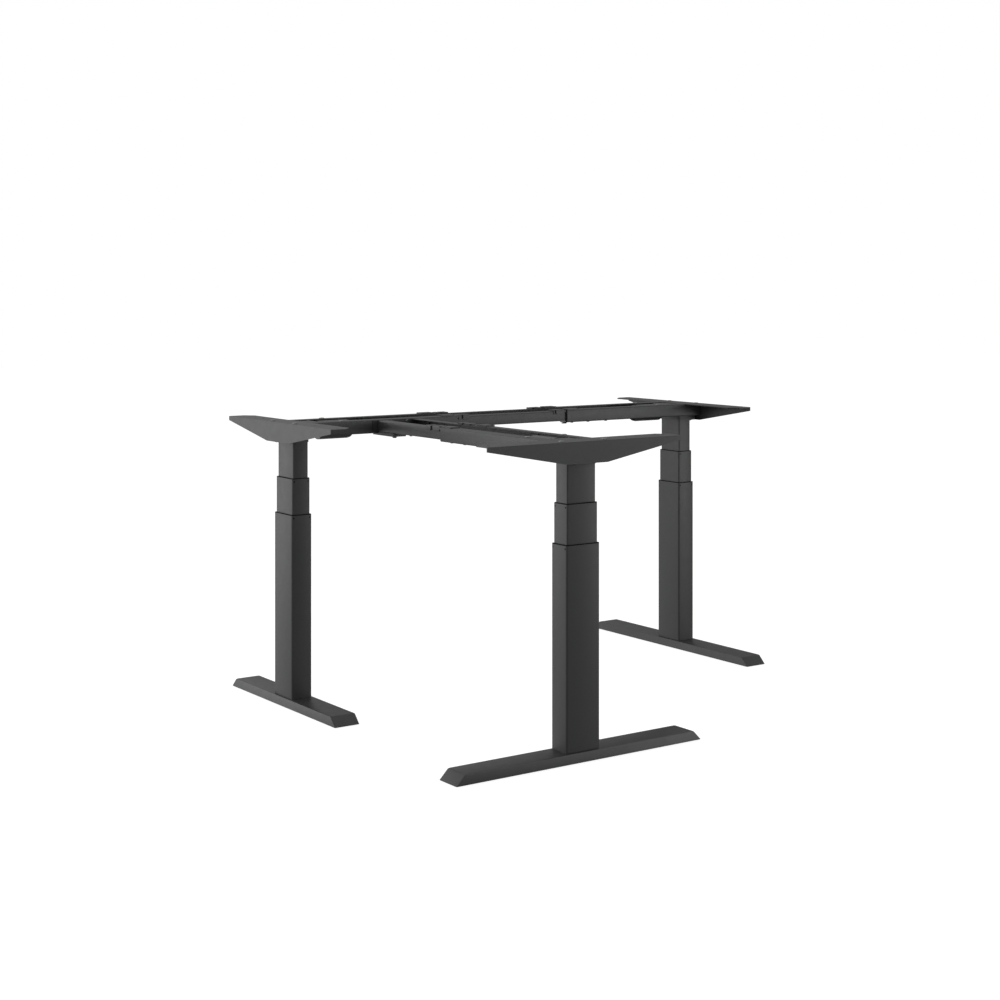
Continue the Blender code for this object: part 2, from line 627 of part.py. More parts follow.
def build_desk():
    clear_scene()
    desk = empty("desk", (-CENTRE_X, -CENTRE_Y, 0))
    corner = empty("corner_leg", (0, 0, 0), 0, desk)
    right = empty("right_leg", (SPAN_MAIN, 0, 0), math.pi, desk)
    back = empty("return_leg", (RETURN_SHIFT, -SPAN_RETURN, 0), math.pi / 2, desk)
    build_leg("corner", corner, CORNER_FOOT_LENGTH, (("front", -1), ("rear", 1)))
    build_leg("right", right, FOOT_LENGTH, (("front", 1), ("rear", -1)))
    build_leg("return", back, FOOT_LENGTH, (("left", 1), ("right", -1)))

    centre_start = END_RAIL_REACH - RAIL_OVERLAP
    centre_end = SPAN_MAIN - centre_start
    for tag, side in (("front", -1), ("rear", 1)):
        build_centre_rail(f"main_{tag}_centre_rail", desk, side, centre_start, centre_end)
    junction = empty("junction", (RETURN_SHIFT, -RAIL_SPREAD, 0), math.pi / 2, desk)
    build_joint(junction)
    return_end = SPAN_RETURN - RAIL_SPREAD - JOINT_PLATE - 2 * CLEAR
    for tag, side in (("left", 1), ("right", -1)):
        build_centre_rail(f"return_{tag}_centre_rail", back, side, centre_start, return_end)


build_desk()
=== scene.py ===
"""Finishes, small parts, camera and light for the L-shaped standing desk frame, round its CAD model."""

import math
from itertools import product

import bmesh
import bpy
from mathutils import Matrix, Vector


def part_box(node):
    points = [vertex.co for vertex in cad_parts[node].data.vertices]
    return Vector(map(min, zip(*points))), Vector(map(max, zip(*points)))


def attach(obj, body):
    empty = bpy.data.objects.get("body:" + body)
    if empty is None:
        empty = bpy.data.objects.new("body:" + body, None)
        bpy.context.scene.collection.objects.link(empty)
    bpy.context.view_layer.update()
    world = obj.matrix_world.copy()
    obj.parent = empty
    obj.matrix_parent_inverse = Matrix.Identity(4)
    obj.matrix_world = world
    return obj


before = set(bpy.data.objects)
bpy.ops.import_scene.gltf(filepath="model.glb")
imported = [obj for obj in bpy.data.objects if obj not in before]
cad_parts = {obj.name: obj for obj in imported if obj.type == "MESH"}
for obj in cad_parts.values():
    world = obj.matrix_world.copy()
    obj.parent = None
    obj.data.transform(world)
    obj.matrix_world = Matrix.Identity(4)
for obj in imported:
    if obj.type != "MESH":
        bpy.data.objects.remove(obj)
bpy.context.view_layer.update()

MM = 0.001
LEGS = {"corner": 0.0, "right": math.pi, "return": math.pi / 2}  # turn of each leg frame about Z
BEAM_SIDES = {
    "corner": ("front", "rear"),
    "right": ("rear", "front"),
    "return": ("right", "left"),
}  # end rails at -Y and +Y of each leg frame

# ---------------------------------------------------------------- materials

CLOUD_SCALE = 7.0  # patches of shade, per metre
SMEAR_SCALE = 38.0  # patches of gloss and of edge wear, per metre
SMEAR_GLOSS = 0.025  # how far the roughness swings over the smears
FLECK_GLOSS = 0.03  # how far it swings over the grain
CLOUD_SHARE = 0.6  # of the shade; the rest is the grain's
SHADE_SPAN = (0.35, 0.65)  # the noise over which the shade goes from dark to light
NOISE_SPAN = (0.3, 0.7)  # where nearly all of a noise's values lie
WEAR_SPAN = (0.42, 0.70)  # the smears over which edge wear goes from slight to full
WEAR_SLIGHT = 0.25
EDGE_LEAN = (0.99, 0.80)  # cosine of a normal's lean where an edge begins, and where it is full
BUMP_STRENGTH = 0.5
COAT_ROUGHNESS = 0.25
SOFT_DEPTH = 1.5 * MM  # how deep light goes into the silicone


def new_material(name):
    """A new node material, its node tree and its Principled shader."""
    material = bpy.data.materials.new(name)
    material.use_nodes = True
    tree = material.node_tree
    tree.nodes.clear()
    out = tree.nodes.new("ShaderNodeOutputMaterial")
    shader = tree.nodes.new("ShaderNodeBsdfPrincipled")
    tree.links.new(shader.outputs["BSDF"], out.inputs["Surface"])
    return material, tree, shader


def noise(tree, vector, scale, detail=3.0, roughness=0.55):
    node = tree.nodes.new("ShaderNodeTexNoise")
    node.inputs["Scale"].default_value = scale
    node.inputs["Detail"].default_value = detail
    node.inputs["Roughness"].default_value = roughness
    tree.links.new(vector, node.inputs["Vector"])
    return node.outputs["Fac"]


def remap(tree, value, low, high, to_low, to_high):
    """Stretches low to high over to_low to to_high, clamped at both ends."""
    node = tree.nodes.new("ShaderNodeMapRange")
    node.clamp = True
    for socket, number in zip(node.inputs[1:5], (low, high, to_low, to_high)):
        socket.default_value = number
    tree.links.new(value, node.inputs["Value"])
    return node.outputs["Result"]


def maths(tree, operation, a, b):
    """One Math node; a and b are sockets or numbers."""
    node = tree.nodes.new("ShaderNodeMath")
    node.operation = operation
    for socket, value in zip(node.inputs, (a, b)):
        if isinstance(value, float):
            socket.default_value = value
        else:
            tree.links.new(value, socket)
    return node.outputs["Value"]


def mixed(tree, factor, a, b):
    """A colour from a to b by factor; a and b are sockets or colours."""
    node = tree.nodes.new("ShaderNodeMix")
    node.data_type = "RGBA"
    tree.links.new(factor, node.inputs["Factor"])
    for socket, colour in ((node.inputs[6], a), (node.inputs[7], b)):
        if isinstance(colour, tuple):
            socket.default_value = (*colour, 1.0)
        else:
            tree.links.new(colour, socket)
    return node.outputs[2]


def edge_mask(tree, radius):
    """1 along sharp edges, 0 on flat faces: how far the rounded normal leans from the true one."""
    rounded = tree.nodes.new("ShaderNodeBevel")
    rounded.samples = 4
    rounded.inputs["Radius"].default_value = radius
    geometry = tree.nodes.new("ShaderNodeNewGeometry")
    dot = tree.nodes.new("ShaderNodeVectorMath")
    dot.operation = "DOT_PRODUCT"
    tree.links.new(rounded.outputs["Normal"], dot.inputs[0])
    tree.links.new(geometry.outputs["Normal"], dot.inputs[1])
    return remap(tree, dot.outputs["Value"], *EDGE_LEAN, 0.0, 1.0)


def scaled(tree, vector, scale):
    node = tree.nodes.new("ShaderNodeMapping")
    node.inputs["Scale"].default_value = scale
    tree.links.new(vector, node.inputs["Vector"])
    return node.outputs["Vector"]


def surface(
    name,
    shade,
    shade_range,
    worn,
    rough,
    grain,
    depth,
    metallic=0.0,
    specular=0.5,
    wear=0.35,
    wear_radius=1.2 * MM,
    stretch=(1.0, 1.0, 1.0),
    coat=0.0,
    subsurface=0.0,
):
    """A finish with cloudy shade, fine grain, uneven gloss and lighter edges.

    shade and worn are the colours of the body and of its rubbed edges. grain is the flecks' scale per metre,
    depth the height of their bump, and stretch packs them closer along an axis.
    """
    material, tree, shader = new_material(name)
    coordinates = tree.nodes.new("ShaderNodeTexCoord").outputs["Object"]
    cloud = noise(tree, coordinates, CLOUD_SCALE, detail=5.0)
    fleck = noise(tree, scaled(tree, coordinates, stretch), grain, detail=2.0)
    smear = noise(tree, coordinates, SMEAR_SCALE, detail=4.0)

    darker = tuple(c * (1.0 - shade_range) for c in shade)
    lighter = tuple(c * (1.0 + shade_range) for c in shade)
    clouded = maths(tree, "MULTIPLY", cloud, CLOUD_SHARE)
    flecked = maths(tree, "MULTIPLY", fleck, 1.0 - CLOUD_SHARE)
    tint = maths(tree, "ADD", clouded, flecked)
    body_colour = mixed(tree, remap(tree, tint, *SHADE_SPAN, 0.0, 1.0), darker, lighter)
    rubbed = remap(tree, smear, *WEAR_SPAN, WEAR_SLIGHT, 1.0)
    edge = maths(tree, "MULTIPLY", edge_mask(tree, wear_radius), rubbed)
    edge = maths(tree, "MULTIPLY", edge, wear)
    tree.links.new(mixed(tree, edge, body_colour, worn), shader.inputs["Base Color"])

    smear_gloss = remap(tree, smear, *NOISE_SPAN, rough - SMEAR_GLOSS, rough + SMEAR_GLOSS)
    fleck_gloss = remap(tree, fleck, *NOISE_SPAN, -FLECK_GLOSS, FLECK_GLOSS)
    tree.links.new(maths(tree, "ADD", smear_gloss, fleck_gloss), shader.inputs["Roughness"])

    bump = tree.nodes.new("ShaderNodeBump")
    bump.inputs["Strength"].default_value = BUMP_STRENGTH
    bump.inputs["Distance"].default_value = depth
    tree.links.new(fleck, bump.inputs["Height"])
    tree.links.new(bump.outputs["Normal"], shader.inputs["Normal"])

    shader.inputs["Metallic"].default_value = metallic
    shader.inputs["Specular IOR Level"].default_value = specular
    shader.inputs["Coat Weight"].default_value = coat
    shader.inputs["Coat Roughness"].default_value = COAT_ROUGHNESS
    shader.inputs["Subsurface Weight"].default_value = subsurface
    shader.inputs["Subsurface Scale"].default_value = SOFT_DEPTH
    return material


FINISHES = {
    "powder_coat": dict(
        shade=(0.018, 0.0182, 0.0185), shade_range=0.06, worn=(0.050, 0.051, 0.052),
        rough=0.42, grain=1500.0, depth=0.03 * MM,
    ),
    "guide_plastic": dict(
        shade=(0.004, 0.004, 0.0043), shade_range=0.12, worn=(0.012, 0.012, 0.0125),
        rough=0.68, grain=2600.0, depth=0.015 * MM, specular=0.07, wear=0.2,
    ),
    "leveler_plastic": dict(
        shade=(0.011, 0.011, 0.012), shade_range=0.12, worn=(0.03, 0.03, 0.032),
        rough=0.5, grain=2200.0, depth=0.02 * MM, specular=0.35, wear=0.25,
    ),
    "motor_enamel": dict(
        shade=(0.012, 0.012, 0.0135), shade_range=0.10, worn=(0.05, 0.05, 0.054),
        rough=0.34, grain=900.0, depth=0.012 * MM, coat=0.25, wear=0.3,
    ),
    "cast_alloy": dict(
        shade=(0.042, 0.0425, 0.044), shade_range=0.16, worn=(0.12, 0.12, 0.125),
        rough=0.5, grain=620.0, depth=0.06 * MM, specular=0.45, wear=0.45,
    ),
    "bright_steel": dict(
        shade=(0.44, 0.44, 0.43), shade_range=0.12, worn=(0.68, 0.68, 0.67),
        rough=0.3, grain=420.0, depth=0.02 * MM, metallic=1.0, wear=0.5, stretch=(1.0, 1.0, 9.0),
    ),
    "pale_silicone": dict(
        shade=(0.12, 0.12, 0.118), shade_range=0.08, worn=(0.22, 0.22, 0.215),
        rough=0.26, grain=1800.0, depth=0.01 * MM, wear=0.3, subsurface=0.2,
    ),
    "screw_zinc": dict(
        shade=(0.09, 0.09, 0.095), shade_range=0.18, worn=(0.26, 0.26, 0.27),
        rough=0.36, grain=1300.0, depth=0.015 * MM, metallic=1.0, wear=0.6,
    ),
}
MATERIALS = {name: surface(name, **finish) for name, finish in FINISHES.items()}

WELD_DISTANCE = 0.002 * MM
CREASE = math.radians(32.0)  # an edge that bends more than this stays crisp


def smooth_group():
    """Joins split corners and shades curved runs smooth, with sharper edges left crisp."""
    group = bpy.data.node_groups.new("smooth_curves", "GeometryNodeTree")
    group.interface.new_socket("Geometry", in_out="INPUT", socket_type="NodeSocketGeometry")
    group.interface.new_socket("Geometry", in_out="OUTPUT", socket_type="NodeSocketGeometry")
    nodes, links = group.nodes, group.links
    start = nodes.new("NodeGroupInput")
    end = nodes.new("NodeGroupOutput")
    strip = nodes.new("GeometryNodeRemoveAttribute")
    strip.inputs["Name"].default_value = "custom_normal"
    merge = nodes.new("GeometryNodeMergeByDistance")
    merge.inputs["Distance"].default_value = WELD_DISTANCE
    faces = nodes.new("GeometryNodeSetShadeSmooth")
    edges = nodes.new("GeometryNodeSetShadeSmooth")
    edges.domain = "EDGE"
    edges.inputs["Shade Smooth"].default_value = False
    angle = nodes.new("GeometryNodeInputMeshEdgeAngle")
    sharp = nodes.new("FunctionNodeCompare")
    sharp.operation = "GREATER_THAN"
    sharp.inputs["B"].default_value = CREASE
    links.new(start.outputs[0], strip.inputs["Geometry"])
    links.new(strip.outputs["Geometry"], merge.inputs["Geometry"])
    links.new(merge.outputs["Geometry"], faces.inputs["Geometry"])
    links.new(faces.outputs["Geometry"], edges.inputs["Geometry"])
    links.new(angle.outputs["Unsigned Angle"], sharp.inputs["A"])
    links.new(sharp.outputs["Result"], edges.inputs["Selection"])
    links.new(edges.outputs["Geometry"], end.inputs[0])
    return group


SMOOTH = smooth_group()
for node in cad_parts.values():
    node_slot = node.material_slots[0]
    node_slot.material = MATERIALS[node_slot.material.name.split(".")[0]]
    node.modifiers.new("smooth", "NODES").node_group = SMOOTH

# ---------------------------------------------------------------- mesh helpers

HEAD_POINTS = 48  # round a screw head, where circles meet a hexagon
BUTTON_HEAD = ((0.99, 0.0), (1.0, 0.15), (0.96, 0.5), (0.84, 0.82), (0.66, 1.0))  # of radius and height


def add_object(name, data):
    thing = bpy.data.objects.new(name, data)
    bpy.context.scene.collection.objects.link(thing)
    return thing


def add_shell(shape, rings, place):
    """Joins each ring to the next and caps both ends."""
    rows = [[shape.verts.new(place @ point) for point in ring] for ring in rings]
    count = len(rows[0])
    for low, high in zip(rows, rows[1:]):
        for i in range(count):
            j = (i + 1) % count
            shape.faces.new((low[i], low[j], high[j], high[i]))
    shape.faces.new(rows[0][::-1])
    shape.faces.new(rows[-1])


def piece(name, rings, body, slot, places):
    """A closed skin over rings of points, repeated at each place."""
    shape = bmesh.new()
    for place in places:
        add_shell(shape, rings, place)
    bmesh.ops.recalc_face_normals(shape, faces=shape.faces[:])
    mesh = bpy.data.meshes.new(name)
    shape.to_mesh(mesh)
    shape.free()
    mesh.materials.append(MATERIALS[slot])
    thing = add_object(name, mesh)
    thing.modifiers.new("smooth", "NODES").node_group = SMOOTH
    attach(thing, body)


def circle(radius, z, count):
    angles = [2 * math.pi * i / count for i in range(count)]
    return [Vector((radius * math.cos(angle), radius * math.sin(angle), z)) for angle in angles]


def hexagon(across, z):
    """A hexagon outline with as many points as a screw head's circles, so that the two can be joined."""
    ring = []
    for i in range(HEAD_POINTS):
        angle = 2 * math.pi * i / HEAD_POINTS
        lean = (angle + math.pi / 6) % (math.pi / 3) - math.pi / 6
        reach = across / 2 / math.cos(lean)
        ring.append(Vector((reach * math.cos(angle), reach * math.sin(angle), z)))
    return ring


def rounded(width, depth, corner, z, steps=5):
    """A rounded rectangle round the origin, width along X."""
    ring = []
    for cx, cy, start in ((1, 1, 0), (-1, 1, 90), (-1, -1, 180), (1, -1, 270)):
        for i in range(steps + 1):
            angle = math.radians(start + 90 * i / steps)
            x = cx * (width / 2 - corner) + corner * math.cos(angle)
            y = cy * (depth / 2 - corner) + corner * math.sin(angle)
            ring.append(Vector((x, y, z)))
    return ring


def slab(width, depth, corner, low, high, edge):
    """Rings of a rounded block with chamfered top and bottom edges."""
    return [
        rounded(width - 2 * edge, depth - 2 * edge, corner, low),
        rounded(width, depth, corner, low + edge),
        rounded(width, depth, corner, high - edge),
        rounded(width - 2 * edge, depth - 2 * edge, corner, high),
    ]


def turned(profile, count=32):
    """Rings of a round shape, from its radius at each height."""
    return [circle(radius, z, count) for radius, z in profile]


def socket_screw(radius, height, socket):
    """A button head with a hexagon socket, standing on z = 0."""
    return [
        *turned([(radius * wide, height * high) for wide, high in BUTTON_HEAD], HEAD_POINTS),
        hexagon(socket * 1.12, height),  # chamfered mouth
        hexagon(socket, height * 0.9),
        hexagon(socket, height * 0.4),  # floor
    ]


def hex_bolt(across, height, washer):
    """A domed hexagon head on its washer, standing on z = 0; washer is the washer's radius."""
    rim = washer * 0.96
    thick = washer * 0.12
    return [
        *turned([(rim, 0.0), (washer, thick * 0.3), (washer, thick * 0.8), (rim, thick)], HEAD_POINTS),
        hexagon(across * 1.001, thick),
        hexagon(across, thick + height * 0.8),
        circle(across * 0.46, thick + height, HEAD_POINTS),
    ]


def at(x, y, z, turn=None):
    """A place, with the piece's own Z turned another way if turn is given."""
    move = Matrix.Translation((x, y, z))
    return move if turn is None else move @ turn


UPSIDE_DOWN = Matrix.Rotation(math.pi, 4, "X")
TO_PLUS_X = Matrix.Rotation(math.pi / 2, 4, "Y")
TO_PLUS_Y = Matrix.Rotation(-math.pi / 2, 4, "X")
TO_MINUS_Y = Matrix.Rotation(math.pi / 2, 4, "X")


def leg_place(leg):
    """The leg frame: origin on the floor under the column, +X inward along the beam, Y along the foot."""
    low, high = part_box(f"{leg}_lower_tube")
    middle = (low + high) / 2
    return Matrix.Translation((middle.x, middle.y, 0.0)) @ Matrix.Rotation(LEGS[leg], 4, "Z")


def local_box(node, place):
    """A node's lowest and highest corners, as seen from a leg frame."""
    low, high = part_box(node)
    inverse = place.inverted()
    corners = [inverse @ Vector(corner) for corner in product(*zip(low, high))]
    return Vector(map(min, *corners)), Vector(map(max, *corners))


def side_reach(low, high):
    """How far a rail's nearer and farther sides are from the beam's middle plane."""
    return sorted((abs(low.y), abs(high.y)))


# ---------------------------------------------------------------- small parts the CAD model leaves out

BUMPER = turned(
    [(7.6 * MM, 0.0), (8.0 * MM, 0.4 * MM), (7.7 * MM, 1.4 * MM), (6.6 * MM, 2.2 * MM), (4.6 * MM, 2.6 * MM)]
)
BUMPER_X = -29 * MM  # on the bracket's flange, outboard of the column
BUMPER_Y = 65 * MM
RAIL_BUMPER_X = 122 * MM
RAIL_MIDDLE = 15 * MM  # from an end rail's outer side to the middle of its width

PIN = turned([(2.2 * MM, -0.6 * MM), (2.2 * MM, 0.10 * MM), (1.8 * MM, 0.16 * MM)], 20)
PIN_INSET = 6.0 * MM  # from the edges of the tube's narrow face
PIN_DROP = 7.0 * MM  # below the tube's top

CLIPS = {
    ("corner", "front"): (504, 543, 514.2, 519.8),
    ("corner", "rear"): (504, 543, 514.2, 519.8),
    ("right", "front"): (504, 543, 533.6, 539.4),
    ("right", "rear"): (504, 543, 533.6, 539.4),
    ("return", "left"): (504, 571, 537, 547),
    ("return", "right"): (530, 588, 557, 567),
}  # mm from the column axis: start, end, and the slot between them
CLIP_GAP = 0.3 * MM  # round the sliding centre rail
CLIP_INSET = 0.05 * MM  # from the end rail's outer side
CLIP_RISE = 2.2 * MM  # above the end rail's top
CLIP_SKIRT = 9.0 * MM  # down the centre rail's outer side
CLIP_EDGE = 0.8 * MM  # chamfer of its long edges
CLIP_TRIM = 0.7 * MM  # how much smaller its ends are
CLIP_STEP = 0.4 * MM  # along the rail, where its outline changes
TONGUE_START = 0.4 * MM  # from the end rail's open end
TONGUE_END = 0.3 * MM  # from the clip's start
TONGUE_SKIRT = 4 * MM  # down the centre rail's outer side
TONGUE_REACH = 6 * MM  # from the centre rail's lip
SLOT_DEPTH = 1.2 * MM
SLOT_SKIRT = 0.6 * MM  # from the bottom of the clip's skirt
SLOT_REACH = 1.5 * MM  # from the centre rail's lip
# Black block that fills each clip's slot nearly flush: painted shade for the slot's dark inside.
SHADE_INSERT_START = 1.1 * CLIP_STEP  # from the slot's ends
SHADE_INSERT_BACK = 1.15 * MM  # just clear of the slot's floor
SHADE_INSERT_DROP = 0.9 * MM  # below the clip's top
SHADE_INSERT_INSET = 0.4 * MM  # from the clip's outer side
SHADE_INSERT_EDGE = 0.6 * MM
SHADE_INSERT_REACH = 4 * MM  # from the centre rail's lip
SHADE_INSERT_SKIRT = 2.4 * MM  # from the bottom of the clip's skirt

# Black band round the end rail mouths: painted shade for the gap between end rail and centre rail.
BAND_START = -5.8 * MM  # from the end rail's open end
BAND_END = 0.2 * MM
BAND_INSIDE = 0.04 * MM  # clear of the rail
BAND_OUTSIDE = 0.34 * MM
BAND_BEND = 2.6 * MM
BAND_FOOT = slab(13 * MM, 12 * MM, 2 * MM, -2.8 * MM, -0.4 * MM, 0.5 * MM)  # hangs under the rail
BAND_FOOT_X = 2 * MM
BAND_FOOT_Y = 6.5 * MM  # from the end rail's outer side

LOCK_SCREWS = {"corner": (34, 96), "right": (34, 96, 165), "return": (34, 96, 165)}  # mm from the open end
LOCK_SCREW = socket_screw(5 * MM, 2.7 * MM, 4 * MM)

COVER_START = 25 * MM  # from the column axis
COVER_END = 2 * MM  # from the gearbox's end
COVER_MARGIN = 6 * MM  # how much narrower than the gearbox
COVER_THICKNESS = 1.8 * MM
COVER_CORNER = 6 * MM
COVER_EDGE = 0.5 * MM
COVER_SCREW = socket_screw(2.8 * MM, 1.5 * MM, 2.4 * MM)
COVER_SCREW_INSET = 6 * MM
MOTOR_CAP = turned(
    [(22.5 * MM, 0.0), (22.5 * MM, 1.5 * MM), (20 * MM, 3.2 * MM), (9 * MM, 3.6 * MM), (8 * MM, 6.5 * MM)], 40
)

FOOT_BOLT = hex_bolt(10 * MM, 4 * MM, 7 * MM)
FOOT_BOLT_X = 19 * MM
FOOT_BOLT_Y = 38 * MM
FOOT_SHEET = 2.5 * MM  # how thick the foot's top is
FRAME_SCREW = socket_screw(4.5 * MM, 3.2 * MM, 4 * MM)
HEAD_SCREW_X = -35 * MM
HEAD_SCREW_Y = 30 * MM

CENTRE_SCREWS = (84, 152)  # mm from the return's centre rails' end at the main beam
CLAMP_BOLT = hex_bolt(10 * MM, 4.5 * MM, 8 * MM)
CLAMP_BOLT_Y = 27 * MM  # from the clamp plate's front edge
JOINT_BOLT = hex_bolt(9 * MM, 3.5 * MM, 6.5 * MM)
JOINT_BOLT_X = 26 * MM
JOINT_BOLT_Z = 9 * MM


def add_glide_pins(leg, place):
    """Pin ends on the narrow faces of the lower and middle tubes, which hold the glide collars."""
    for stage, body in (("lower", "base"), ("middle", "mid")):
        low, high = local_box(f"{leg}_{stage}_tube", place)
        x = high.x - PIN_INSET
        z = high.z - PIN_DROP
        spots = [place @ at(sx * x, high.y, z, TO_PLUS_Y) for sx in (-1, 1)]
        spots += [place @ at(sx * x, low.y, z, TO_MINUS_Y) for sx in (-1, 1)]
        piece(f"{leg}_{stage}_pins", PIN, f"{leg}_{body}", "guide_plastic", spots)


def add_bumpers(leg, place):
    """Two clear bumpers on the side bracket and one on each end rail, under the desktop."""
    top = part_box(f"{leg}_side_bracket")[1].z
    rail = local_box(f"{leg}_{BEAM_SIDES[leg][1]}_end_rail", place)
    rail_y = rail[1].y - RAIL_MIDDLE
    spots = [(BUMPER_X, -BUMPER_Y), (BUMPER_X, BUMPER_Y), (RAIL_BUMPER_X, -rail_y), (RAIL_BUMPER_X, rail_y)]
    for number, (x, y) in enumerate(spots, 1):
        piece(f"{leg}_bumper_{number}", BUMPER, f"{leg}_top", "pale_silicone", (place @ at(x, y, top),))


def clip_ring(x, side, faces, outline, trim):
    """L section over a centre rail: faces are the rail's outer side, its top and the clip's outer side.

    outline is the section's top, the bottom of its skirt, and how far it reaches toward the beam's middle.
    """
    face, rail_top, outer = faces
    top, skirt, reach = outline
    inner = face + CLIP_GAP
    under = rail_top + CLIP_GAP
    points = [
        (reach + trim, under),
        (reach + trim, top - trim - CLIP_EDGE),
        (reach + trim + CLIP_EDGE, top - trim),
        (outer - trim - 2 * CLIP_EDGE, top - trim),
        (outer - trim - CLIP_EDGE / 2, top - trim - CLIP_EDGE / 2),
        (outer - trim, top - trim - 2 * CLIP_EDGE),
        (outer - trim, skirt + trim + CLIP_EDGE / 2),
        (outer - trim - CLIP_EDGE / 2, skirt + trim),
        (inner, skirt + trim),
        (inner, under),
    ]
    return [Vector((x, side * y, z)) for y, z in points]


def shade_insert_outline(outer, top, flush, skirt, lip):
    """Thin L of the black block that fills the clip's slot nearly flush: painted shade for the slot's dark
    inside.
    """
    seat = flush - SHADE_INSERT_BACK
    back = outer - SHADE_INSERT_BACK
    level = top - SHADE_INSERT_DROP
    out = outer - SHADE_INSERT_INSET
    low_edge = skirt + SHADE_INSERT_SKIRT
    return [
        (lip + SHADE_INSERT_REACH, seat),
        (lip + SHADE_INSERT_REACH, level),
        (out - SHADE_INSERT_EDGE, level),
        (out, level - SHADE_INSERT_EDGE),
        (out, low_edge),
        (back, low_edge),
        (back, seat),
    ]


def add_clips(leg, place):
    """Clip over each centre rail at the end rail's open end, with a black block in the slot across it as
    painted shade for the slot's dark inside.
    """
    beam = "return" if leg == "return" else "main"
    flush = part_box(f"{leg}_side_bracket")[1].z
    top = flush + CLIP_RISE
    for tag, side in zip(BEAM_SIDES[leg], (-1, 1)):
        end_low, end_high = local_box(f"{leg}_{tag}_end_rail", place)
        centre_low, centre_high = local_box(f"{beam}_{tag}_centre_rail", place)
        lip, face = side_reach(centre_low, centre_high)
        outer = side_reach(end_low, end_high)[1] - CLIP_INSET
        rail_top = centre_high.z
        skirt = rail_top - CLIP_SKIRT
        start, end, slot_start, slot_end = (v * MM for v in CLIPS[leg, tag])

        body = (top, skirt, lip)
        tongue = (flush, rail_top - TONGUE_SKIRT, lip + TONGUE_REACH)
        slot = (flush, skirt + SLOT_SKIRT, lip + SLOT_REACH)
        stations = [
            (end_high.x + TONGUE_START, tongue, 0.0),
            (start - TONGUE_END, tongue, 0.0),
            (start, body, CLIP_TRIM),
            (start + 2 * CLIP_STEP, body, 0.0),
            (slot_start, body, 0.0),
            (slot_start + CLIP_STEP, slot, SLOT_DEPTH),
            (slot_end - CLIP_STEP, slot, SLOT_DEPTH),
            (slot_end, body, 0.0),
            (end - 2 * CLIP_STEP, body, 0.0),
            (end, body, CLIP_TRIM),
        ]
        faces = (face, rail_top, outer)
        rings = [clip_ring(x, side, faces, outline, trim) for x, outline, trim in stations]
        piece(f"{leg}_{tag}_clip", rings, f"{leg}_top", "powder_coat", (place,))

        # black block in the slot: painted shade for its dark inside
        points = shade_insert_outline(outer, top, flush, skirt, lip)
        ends = (slot_start + SHADE_INSERT_START, slot_end - SHADE_INSERT_START)
        rings = [[Vector((x, side * y, z)) for y, z in points] for x in ends]
        piece(f"{leg}_{tag}_clip_shade_insert", rings, f"{leg}_top", "guide_plastic", (place,))


def band_outline(side, low, high, grow):
    """C outline just outside an end rail, open toward the beam's middle."""
    lip, outer = side_reach(low, high)
    outer += grow
    bottom = low.z - grow
    top = high.z + grow
    points = [
        (lip, bottom),
        (outer - BAND_BEND, bottom),
        (outer - 0.3 * BAND_BEND, bottom + 0.3 * BAND_BEND),
        (outer, bottom + BAND_BEND),
        (outer, top - BAND_BEND),
        (outer - 0.3 * BAND_BEND, top - 0.3 * BAND_BEND),
        (outer - BAND_BEND, top),
        (lip, top),
    ]
    return [(side * y, z) for y, z in points]


def add_gap_shade_bands(leg, place):
    """Black band round the open end of each end rail, painted shade for the dark gap between the end rail and
    the centre rail there, with a small black block below it.
    """
    for tag, side in zip(BEAM_SIDES[leg], (-1, 1)):
        low, high = local_box(f"{leg}_{tag}_end_rail", place)
        high.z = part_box(f"{leg}_side_bracket")[1].z  # the rail without its raised pad
        outside = band_outline(side, low, high, BAND_OUTSIDE)
        inside = band_outline(side, low, high, BAND_INSIDE)
        outline = outside + inside[::-1]
        rings = [[Vector((high.x + x, y, z)) for y, z in outline] for x in (BAND_START, BAND_END)]
        # black band: painted shade for the gap at the rail's mouth
        piece(f"{leg}_{tag}_collar", rings, f"{leg}_top", "guide_plastic", (place,))
        y = side * (side_reach(low, high)[1] - BAND_FOOT_Y)
        spot = place @ at(high.x + BAND_FOOT_X, y, low.z)
        piece(f"{leg}_{tag}_mouth_block", BAND_FOOT, f"{leg}_top", "guide_plastic", (spot,))


def add_lock_screws(leg, place):
    """Screws under the end rails, which hold the beam's width."""
    for tag, side in zip(BEAM_SIDES[leg], (-1, 1)):
        low, high = local_box(f"{leg}_{tag}_end_rail", place)
        y = side * (side_reach(low, high)[1] - RAIL_MIDDLE)
        spots = [place @ at(high.x - back * MM, y, low.z, UPSIDE_DOWN) for back in LOCK_SCREWS[leg]]
        piece(f"{leg}_{tag}_lock_screws", LOCK_SCREW, f"{leg}_top", "screw_zinc", spots)


def add_drive_details(leg, place):
    """The gearbox's screwed cover and the motor's end cap."""
    low, high = local_box(f"{leg}_gearbox", place)
    start = COVER_START
    end = high.x - COVER_END
    middle_x = (start + end) / 2
    wide = high.y - low.y - COVER_MARGIN
    cover = slab(end - start, wide, COVER_CORNER, 0.0, COVER_THICKNESS, COVER_EDGE)
    piece(f"{leg}_gearbox_cover", cover, f"{leg}_top", "cast_alloy", (place @ at(middle_x, 0.0, high.z),))
    x = (end - start) / 2 - COVER_SCREW_INSET
    y = wide / 2 - COVER_SCREW_INSET
    z = high.z + COVER_THICKNESS
    spots = [place @ at(middle_x + sx * x, sy * y, z) for sx in (-1, 1) for sy in (-1, 1)]
    piece(f"{leg}_gearbox_screws", COVER_SCREW, f"{leg}_top", "screw_zinc", spots)

    low, high = local_box(f"{leg}_motor", place)
    spot = place @ at(high.x, 0.0, (low.z + high.z) / 2, TO_PLUS_X)
    piece(f"{leg}_motor_cap", MOTOR_CAP, f"{leg}_top", "guide_plastic", (spot,))


